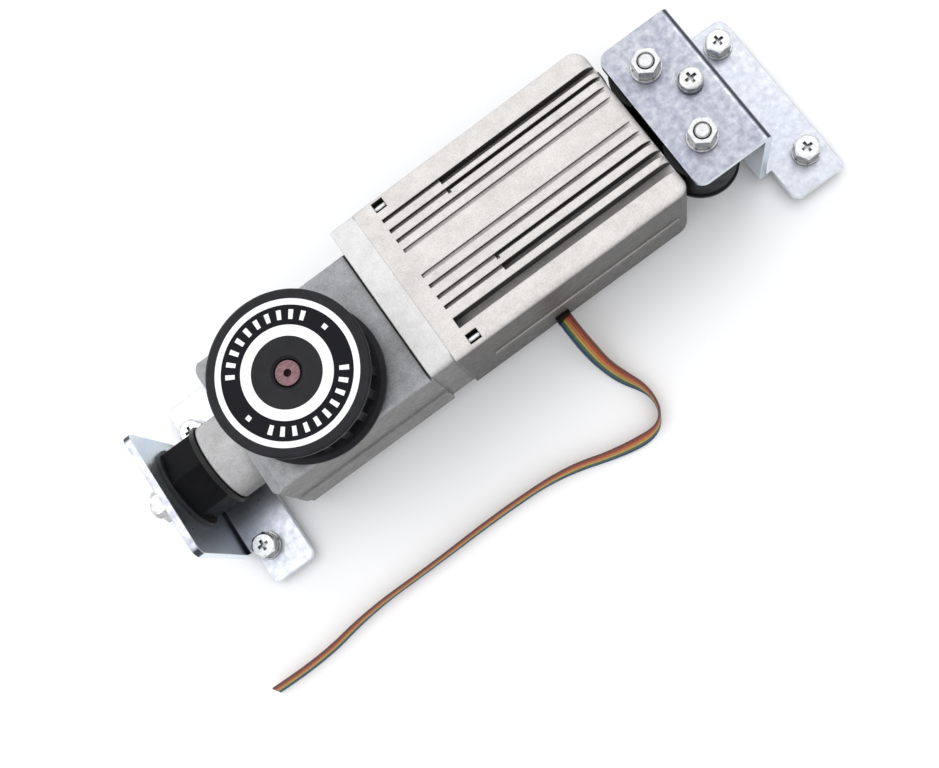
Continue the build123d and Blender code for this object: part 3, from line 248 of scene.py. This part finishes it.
def zinc_sheet(name):
    """Blue-passivated zinc: mottled plates; feet painted lighter as lit and walls painted pale as a
    reflection; bends and grooves painted dark as shade; edges painted bright as a highlight.
    """
    s = Surface(name, Metallic=1.0)
    mottle = s.noise(3.2, 6.0, 0.66)
    broad = s.noise(18.0, 3.0, 0.5)
    shades = (0.34, (0.32, 0.33, 0.38)), (0.50, (0.43, 0.44, 0.49)), (0.68, (0.57, 0.59, 0.62))
    tints = (0.36, (0.45, 0.47, 0.52)), (0.50, (0.50, 0.50, 0.52)), (0.64, (0.55, 0.57, 0.57))
    colour = s.mix(0.45, s.ramp(mottle, *shades), s.ramp(broad, *tints), "OVERLAY")
    # the low feet are painted lighter: a painted pool of light
    height = s.combine(s.part_of(s.place, "Z"), 1 / FOOT_SCALE, "MULTIPLY")
    colour = s.mix(s.ramp(height, (0.20, 0.33), (0.45, 0.0)), colour, ZINC_FOOT_LIT)
    upright = s.facing_up()
    # walls are painted pale blue: a painted reflection
    colour = s.mix(s.ramp(upright, (0.02, 0.80), (0.15, 0.0)), colour, ZINC_WALL_REFLECTION)
    # the curved faces of the bends are painted dark: painted shade in the bends
    bend_shade = s.ramp(upright, (0.10, 0.0), (0.30, 0.92), (0.88, 0.92), (0.985, 0.0))
    colour = s.mix(bend_shade, colour, ZINC_BEND_SHADE)
    # grooves and corners painted dark navy: painted shade
    colour = s.mix(s.ramp(s.crevice_shade(11.0), (0.30, 0.85), (0.62, 0.0)), colour, ZINC_CREVICE_SHADE)
    rounded, turn = s.edges(0.6)
    # sharp edges painted bright: a painted highlight
    colour = s.mix(s.ramp(turn, (0.02, 0.0), (0.20, 0.9)), colour, ZINC_EDGE_HIGHLIGHT)
    scratch = s.noise(0.9, 2.0, 0.5, s.stretched(0.05, 1.0, 1.0))
    normal = s.bump(s.noise(1.6, 5.0, 0.7), 0.04, rounded, 0.5)
    normal = s.bump(s.ramp(scratch, (0.62, 0.0), (0.70, 1.0)), 0.02, normal, 0.5)
    roughness = s.ramp(mottle, (0.30, 0.38), (0.72, 0.25))
    return s.finish(colour, roughness, normal)


def zinc_fastener(name):
    """Bright zinc on turned and pressed fasteners, with tops painted lighter as lit and sides painted
    darker as shade.
    """
    s = Surface(name, Metallic=1.0)
    mottle = s.noise(1.4, 3.0, 0.55)
    upright = s.facing_up()
    sides = s.ramp(mottle, (0.32, (0.24, 0.245, 0.25)), (0.66, (0.40, 0.40, 0.40)))
    lit_tops = s.ramp(mottle, (0.32, (0.60, 0.61, 0.61)), (0.66, (0.80, 0.80, 0.79)))
    # top faces painted light and walls painted dark: painted light and shade by facing
    colour = s.mix(s.ramp(upright, (0.30, 0.0), (0.85, 1.0)), sides, lit_tops)
    rounded, turn = s.edges(0.35)
    colour = s.mix(s.ramp(turn, (0.03, 0.0), (0.25, 0.6)), colour, (0.86, 0.86, 0.84, 1))
    # grooves and corners painted near black: painted shade
    colour = s.mix(s.ramp(s.crevice_shade(2.2), (0.30, 0.8), (0.78, 0.0)), colour, (0.05, 0.05, 0.055, 1))
    normal = s.bump(s.noise(0.6, 2.0, 0.5), 0.010, rounded, 0.4)
    return s.finish(colour, s.ramp(mottle, (0.3, 0.32), (0.7, 0.22)), normal)


def black_metal(name, rough=0.42, grey=0.012):
    """Black-oxide or painted steel, a little worn at the edges."""
    s = Surface(name, Metallic=0.1, Specular_IOR_Level=0.20)
    clouds = s.noise(4.0, 4.0, 0.6)
    colour = s.ramp(clouds, (0.3, grey), (0.7, grey * 1.9))
    rounded, turn = s.edges(0.4)
    colour = s.mix(s.ramp(turn, (0.05, 0.0), (0.30, 0.35)), colour, (0.20, 0.20, 0.20, 1))
    normal = s.bump(s.noise(0.5, 3.0, 0.7), 0.03, rounded, 0.7)
    return s.finish(colour, s.ramp(clouds, (0.3, rough - 0.06), (0.7, rough + 0.08)), normal)


def rubber(name):
    """Moulded black rubber with a dusty bloom."""
    s = Surface(name, Specular_IOR_Level=0.09)
    bloom = s.noise(5.0, 5.0, 0.65)
    colour = s.ramp(bloom, (0.35, (0.0025, 0.0025, 0.003)), (0.75, (0.007, 0.007, 0.008)))
    rounded, _ = s.edges(0.5)
    normal = s.bump(s.noise(0.35, 3.0, 0.7), 0.03, rounded, 0.8)
    return s.finish(colour, s.ramp(bloom, (0.3, 0.36), (0.7, 0.58)), normal)


def turned_from_pulley(s, spacing_mm):
    """Fine rings round the pulley axis, as a lathe tool leaves them."""
    centred = s.node("ShaderNodeVectorMath", {0: s.place, 1: PULLEY}, operation="SUBTRACT").outputs[0]
    flat = s.node("ShaderNodeVectorMath", {0: centred, 1: (1, 1, 0)}, operation="MULTIPLY").outputs[0]
    radius = s.node("ShaderNodeVectorMath", {0: flat}, operation="LENGTH").outputs["Value"]
    return s.combine(s.sine(radius, spacing_mm), s.noise(1.5, 2.0), "MULTIPLY")


def anodised(name):
    """Satin black anodised pulley with turning marks."""
    s = Surface(name, Metallic=0.0, Specular_IOR_Level=0.14)
    clouds = s.noise(6.0, 4.0, 0.6)
    colour = s.ramp(clouds, (0.3, (0.010, 0.010, 0.012)), (0.7, (0.020, 0.020, 0.023)))
    rounded, turn = s.edges(0.5)
    # sharp edges painted grey: a painted highlight on the edges
    colour = s.mix(s.ramp(turn, (0.04, 0.0), (0.30, 0.4)), colour, (0.16, 0.16, 0.165, 1))
    normal = s.bump(turned_from_pulley(s, 0.45), 0.01, rounded, 0.5)
    return s.finish(colour, s.ramp(clouds, (0.3, 0.34), (0.7, 0.46)), normal)


def print_layer(name, light, dark, rough, shine=0.4):
    """Screen-printed ink: nearly flat, with a faint grain."""
    s = Surface(name, Specular_IOR_Level=shine)
    grain = s.noise(0.8, 3.0, 0.6)
    normal = s.bump(s.noise(0.3, 2.0), 0.01, None, 0.6)
    colour = s.ramp(grain, (0.3, dark), (0.7, light))
    return s.finish(colour, s.ramp(grain, (0.3, rough), (0.7, rough + 0.1)), normal)


def turned_steel(name, light, dark, rough=0.28):
    """Ground or turned metal for shafts, keys and bearings."""
    s = Surface(name, Metallic=1.0, Anisotropic=0.8)
    tangent = s.node("ShaderNodeTangent", direction_type="RADIAL", axis="Z").outputs[0]
    s.feed(s.shader.inputs["Tangent"], tangent)
    streaks = s.noise(0.6, 3.0, 0.6, s.stretched(0.25, 1.0, 1.0))
    rounded, turn = s.edges(0.3)
    brushed = s.ramp(streaks, (0.3, dark), (0.7, light))
    colour = s.mix(s.ramp(turn, (0.04, 0.0), (0.3, 0.5)), brushed, (*light, 1))
    normal = s.bump(turned_from_pulley(s, 0.35), 0.008, rounded, 0.6)
    return s.finish(colour, s.ramp(streaks, (0.3, rough), (0.7, rough + 0.12)), normal)


def insulation(name, colour):
    """Glossy vinyl of one ribbon core."""
    s = Surface(name, Specular_IOR_Level=0.5)
    grain = s.noise(1.2, 3.0, 0.6)
    normal = s.bump(s.noise(0.4, 2.0), 0.01, None, 0.6)
    shaded = s.ramp(grain, (0.3, scaled(colour, 0.72)), (0.7, colour))
    return s.finish(shaded, s.ramp(grain, (0.3, 0.33), (0.7, 0.45)), normal)


LAMINATION_MM = 0.5


def laminated(name, grey):
    """Stacked electrical sheet: fine lines across the motor axis."""
    s = Surface(name, Metallic=0.7)
    lines = s.sine(s.part_of(s.place, "X"), LAMINATION_MM)
    colour = s.ramp(s.noise(3.0, 4.0), (0.3, grey), (0.7, grey * 1.5))
    return s.finish(colour, s.ramp(lines, (0.0, 0.40), (1.0, 0.55)), s.bump(lines, 0.04))


LOOKS = {
    "cast_gearbox": casting(
        "cast_gearbox", light=(0.72, 0.705, 0.695), dark=(0.62, 0.605, 0.595), side_shade=(0.175, 0.171, 0.166),
        grain_mm=0.55, grain_depth_mm=0.10, rough=0.50,
        block_shade=((0.27, 0.27, 0.275), (0.37, 0.37, 0.38))),
    "cast_motor": casting(
        "cast_motor", light=(0.655, 0.62, 0.595), dark=(0.555, 0.525, 0.50), side_shade=(0.072, 0.068, 0.064),
        grain_mm=0.70, grain_depth_mm=0.06, rough=0.46),
    "zinc_sheet": zinc_sheet("zinc_sheet"),
    "zinc_fastener": zinc_fastener("zinc_fastener"),
    "black_steel": black_metal("black_steel"),
    "black_rubber": rubber("black_rubber"),
    "pulley_black": anodised("pulley_black"),
    "pulley_label": print_layer("pulley_label", (0.006, 0.006, 0.010), (0.003, 0.003, 0.006), 0.35, 0.10),
    "steel": turned_steel("steel", (0.24, 0.145, 0.155), (0.10, 0.055, 0.062)),
    "bronze": turned_steel("bronze", (0.78, 0.55, 0.28), (0.60, 0.40, 0.18)),
    "end_cap_black": black_metal("end_cap_black", 0.5, 0.02),
    "laminations": laminated("laminations", 0.16),
    "magnet": turned_steel("magnet", (0.36, 0.36, 0.37), (0.26, 0.26, 0.27), 0.05),
    "copper": turned_steel("copper", (0.76, 0.36, 0.18), (0.52, 0.20, 0.09)),
    "circuit_board": print_layer("circuit_board", (0.02, 0.17, 0.06), (0.01, 0.10, 0.03), 0.3),
    "gasket": print_layer("gasket", (0.30, 0.26, 0.20), (0.20, 0.17, 0.13), 0.8),
    "ribbon": insulation("ribbon", (0.70, 0.30, 0.08)),
}


def dress_cad():
    """Give every CAD node the material of its slot in the record."""
    for entry in frame["record"]["subparts"]:
        node = frame["nodes"][entry["node"]]
        node.data.materials.clear()
        node.data.materials.append(LOOKS[entry["material_slot"]])


# ---------------------------------------------------------------- mesh helpers
def new_piece(name, vertices, faces, materials, body, face_materials=None, smooth=True):
    """A mesh object that rides on a body; face_materials gives each face's place in materials."""
    mesh = bpy.data.meshes.new(name)
    mesh.from_pydata([tuple(v) for v in vertices], [], faces)
    for material in materials:
        mesh.materials.append(material)
    for polygon, index in zip(mesh.polygons, face_materials or [0] * len(faces)):
        polygon.material_index = index
    mesh.polygons.foreach_set("use_smooth", [smooth] * len(mesh.polygons))
    mesh.update()
    piece = bpy.data.objects.new(name, mesh)
    bpy.context.scene.collection.objects.link(piece)
    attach(piece, body)
    return piece


# ---------------------------------------------------------------- ribbon cable
CORE_COLOURS = [
    ("core_brown", (0.14, 0.045, 0.022)),
    ("core_red", (0.42, 0.060, 0.030)),
    ("core_orange", (0.56, 0.190, 0.045)),
    ("core_yellow", (0.50, 0.360, 0.080)),
    ("core_green", (0.05, 0.130, 0.070)),
    ("core_blue", (0.02, 0.050, 0.140)),
]
CORE_PITCH, CORE_THICK = 1.27 * MM, 1.0 * MM
CORE_SIDES = 12
CORE_LAP = 0.52    # half a core's width as a share of the pitch, so that neighbours join
ROUTE_STEPS, ROUTE_ORDER = 24, 3
# the route of the CAD ribbon, in millimetres from the foot of the pulley axis
ROUTE_MM = [
    (97.0, -29.4, 10.6),
    (97.0, -40.0, 10.6),
    (99.5, -57.0, 0.05),
    (109.0, -75.0, 0.05),
    (103.0, -89.0, 0.05),
    (84.0, -87.3, 0.05),
    (58.0, -79.2, 0.05),
    (26.0, -78.2, 0.05),
    (-8.0, -79.2, 0.05),
    (-42.0, -79.2, 0.05),
    (-71.0, -84.2, 0.05),
    (-94.0, -83.2, 0.05),
]
# how far the ribbon has turned from flat, in degrees, at shares of its length
TWIST = [
    (0.0, 35), (0.05, 32), (0.12, 48), (0.21, 86), (0.28, 120),
    (0.36, 112), (0.48, 101), (0.70, 97), (1.0, 108),
]


def nurbs_line(points):
    """Points along the smooth curve that the route's control points give."""
    data = bpy.data.curves.new("ribbon_route", "CURVE")
    data.dimensions = "3D"
    data.resolution_u = ROUTE_STEPS
    spline = data.splines.new("NURBS")
    spline.points.add(len(points) - 1)
    for control, point in zip(spline.points, points):
        control.co = (*point, 1)
    spline.order_u = ROUTE_ORDER
    spline.use_endpoint_u = True
    holder = bpy.data.objects.new("ribbon_route", data)
    mesh = bpy.data.meshes.new_from_object(holder)
    line = [v.co.copy() for v in mesh.vertices]
    bpy.data.meshes.remove(mesh)
    bpy.data.objects.remove(holder)
    bpy.data.curves.remove(data)
    return line


def smooth_between(table, share):
    """Value of a (share, value) table, eased between its rows."""
    for (s0, v0), (s1, v1) in zip(table, table[1:]):
        if share <= s1:
            t = (share - s0) / (s1 - s0)
            return v0 + (v1 - v0) * t * t * (3 - 2 * t)
    return table[-1][1]


def make_ribbon():
    line = nurbs_line([from_pulley(*p) for p in ROUTE_MM])
    lengths = [0.0]
    for a, b in zip(line, line[1:]):
        lengths.append(lengths[-1] + (b - a).length)
    total = lengths[-1]
    vertices, faces, owners = [], [], []
    for core in range(len(CORE_COLOURS)):
        first = len(vertices)
        for i, centre in enumerate(line):
            heading = (line[min(i + 1, len(line) - 1)] - line[max(i - 1, 0)]).normalized()
            left = Vector((0, 0, 1)).cross(heading).normalized()
            up = heading.cross(left)
            turn = math.radians(smooth_between(TWIST, lengths[i] / total))
            across = left * math.cos(turn) + up * math.sin(turn)
            thick = heading.cross(across)
            middle = centre + across * CORE_PITCH * ((len(CORE_COLOURS) - 1) / 2 - core)
            for side in range(CORE_SIDES):
                angle = 2 * math.pi * side / CORE_SIDES
                vertices.append(middle + across * CORE_PITCH * CORE_LAP * math.cos(angle)
                                + thick * CORE_THICK / 2 * math.sin(angle))
        for i in range(len(line) - 1):
            for side in range(CORE_SIDES):
                a = first + i * CORE_SIDES + side
                b = first + i * CORE_SIDES + (side + 1) % CORE_SIDES
                faces.append((a, b, b + CORE_SIDES, a + CORE_SIDES))
                owners.append(core)
        last = first + (len(line) - 1) * CORE_SIDES
        faces.append(tuple(first + side for side in reversed(range(CORE_SIDES))))
        faces.append(tuple(last + side for side in range(CORE_SIDES)))
        owners += [core, len(CORE_COLOURS)]
    materials = [insulation(name, colour) for name, colour in CORE_COLOURS] + [LOOKS["copper"]]
    ribbon = new_piece("ribbon_cores", vertices, faces, materials, "frame", owners)
    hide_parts("ribbon_cable")


# ---------------------------------------------------------------- pulley print
PRINT_THICK = 0.06 * MM
RING_SIDES, MARK_SIDES = 192, 6
WHITE_RINGS_MM = [(13.9, 18.1), (25.7, 28.1)]
BAR_RING_MM, DOT_RING_MM = (20.2, 23.9), (21.1, 23.0)
# angles in degrees, counted from +X in each half of the ring
BAR_COUNT, FIRST_BAR, BAR_STEP, BAR_SWEEP = 10, 38, 12.0, 4.6
DOT_ANGLE, DOT_SWEEP = 12, 5.2


def ring_slab(inner, outer, start=0.0, sweep=2 * math.pi, sides=RING_SIDES):
    """Vertices and faces of a thin raised stretch of ring on the label."""
    low, high = LABEL_HIGH.z, LABEL_HIGH.z + PRINT_THICK
    closed = sweep >= 2 * math.pi
    steps = sides if closed else sides + 1
    vertices = []
    for i in range(steps):
        angle = start + sweep * i / sides
        ray = Vector((math.cos(angle), math.sin(angle), 0))
        for radius, z in ((inner, low), (outer, low), (outer, high), (inner, high)):
            vertices.append(PULLEY + ray * radius * MM + Vector((0, 0, z)))
    faces = []
    for i in range(sides):
        a, b = 4 * i, 4 * ((i + 1) % steps)
        faces += [(a + k, a + (k + 1) % 4, b + (k + 1) % 4, b + k) for k in range(4)]
    if not closed:
        end = 4 * (steps - 1)
        faces += [(3, 2, 1, 0), (end, end + 1, end + 2, end + 3)]
    return vertices, faces


def joined(parts):
    """Several (vertices, faces) pairs as one."""
    vertices, faces = [], []
    for some_vertices, some_faces in parts:
        offset = len(vertices)
        vertices += some_vertices
        faces += [tuple(offset + i for i in face) for face in some_faces]
    return vertices, faces


def mark(radii_mm, start, sweep):
    """One printed mark, with its start and sweep in degrees."""
    return ring_slab(*radii_mm, math.radians(start), math.radians(sweep), MARK_SIDES)


def make_pulley_print():
    """Two white rings, with plain graduation bars and dots between them."""
    white = print_layer("print_white", (0.90, 0.90, 0.90), (0.84, 0.84, 0.84), 0.35)
    parts = [ring_slab(*radii) for radii in WHITE_RINGS_MM]
    for half in (0, 180):
        for bar in range(BAR_COUNT):
            parts.append(mark(BAR_RING_MM, half + FIRST_BAR + bar * BAR_STEP, BAR_SWEEP))
        parts.append(mark(DOT_RING_MM, half + DOT_ANGLE, DOT_SWEEP))
    vertices, faces = joined(parts)
    new_piece("pulley_print", vertices, faces, [white], "output", smooth=False)


# ---------------------------------------------------------------- studio
FLOOR_REACH = 40.0
# name, place, side of the square in metres, power in watts
LAMPS = [("key", (-0.50, 0.50, 1.15), 0.80, 2.5), ("side", (0.78, 0.40, 1.10), 0.50, 1.15)]
# grey of the dome against how nearly a direction agrees with its axis
DOME_AXIS = (0.02, 0.16, 0.985)
DOME_STOPS = [(0.0, 0.62), (0.22, 0.80), (0.42, 1.02), (0.70, 1.12), (0.95, 1.18)]
DOME_TINT = (1.0, 1.01, 1.03)


def area_light(name, place, size, power):
    """A square lamp that points at the origin."""
    data = bpy.data.lights.new(name, "AREA")
    data.shape, data.size, data.energy = "SQUARE", size, power
    light = bpy.data.objects.new(name, data)
    light.location = place
    light.rotation_mode = "QUATERNION"
    light.rotation_quaternion = (-Vector(place)).to_track_quat("-Z", "Y")
    bpy.context.scene.collection.objects.link(light)


def make_studio():
    mesh = bpy.data.meshes.new("floor")
    signs = ((-1, -1), (1, -1), (1, 1), (-1, 1))
    corners = [(x * FLOOR_REACH, y * FLOOR_REACH, FLOOR_Z) for x, y in signs]
    mesh.from_pydata(corners, [], [(0, 1, 2, 3)])
    s = Surface("floor", Specular_IOR_Level=0.1)
    grain = s.noise(0.5, 2.0)
    colour = s.ramp(grain, (0.2, 0.95), (0.8, 0.98))
    mesh.materials.append(s.finish(colour, s.ramp(grain, (0.2, 0.9), (0.8, 1.0))))
    floor = bpy.data.objects.new("floor", mesh)
    bpy.context.scene.collection.objects.link(floor)
    for name, place, size, power in LAMPS:
        area_light(name, place, size, power)
    make_sky()


def make_sky():
    """Dome of soft light, brightest overhead and a little dimmer low down."""
    world = bpy.data.worlds.new("studio")
    world.use_nodes = True
    tree = world.node_tree
    place = tree.nodes.new("ShaderNodeTexCoord").outputs["Generated"]
    weigh = tree.nodes.new("ShaderNodeVectorMath")
    weigh.operation = "DOT_PRODUCT"
    weigh.inputs[1].default_value = DOME_AXIS
    ramp = tree.nodes.new("ShaderNodeValToRGB")
    while len(ramp.color_ramp.elements) < len(DOME_STOPS):
        ramp.color_ramp.elements.new(0.5)
    for element, (position, grey) in zip(ramp.color_ramp.elements, DOME_STOPS):
        element.position, element.color = position, (*scaled(DOME_TINT, grey), 1)
    tree.links.new(place, weigh.inputs[0])
    tree.links.new(weigh.outputs["Value"], ramp.inputs["Fac"])
    tree.links.new(ramp.outputs["Color"], tree.nodes["Background"].inputs["Color"])
    bpy.context.scene.world = world
    bpy.context.scene.view_settings.view_transform = "Standard"


make_camera()
make_ribbon()
dress_cad()
make_pulley_print()
make_studio()
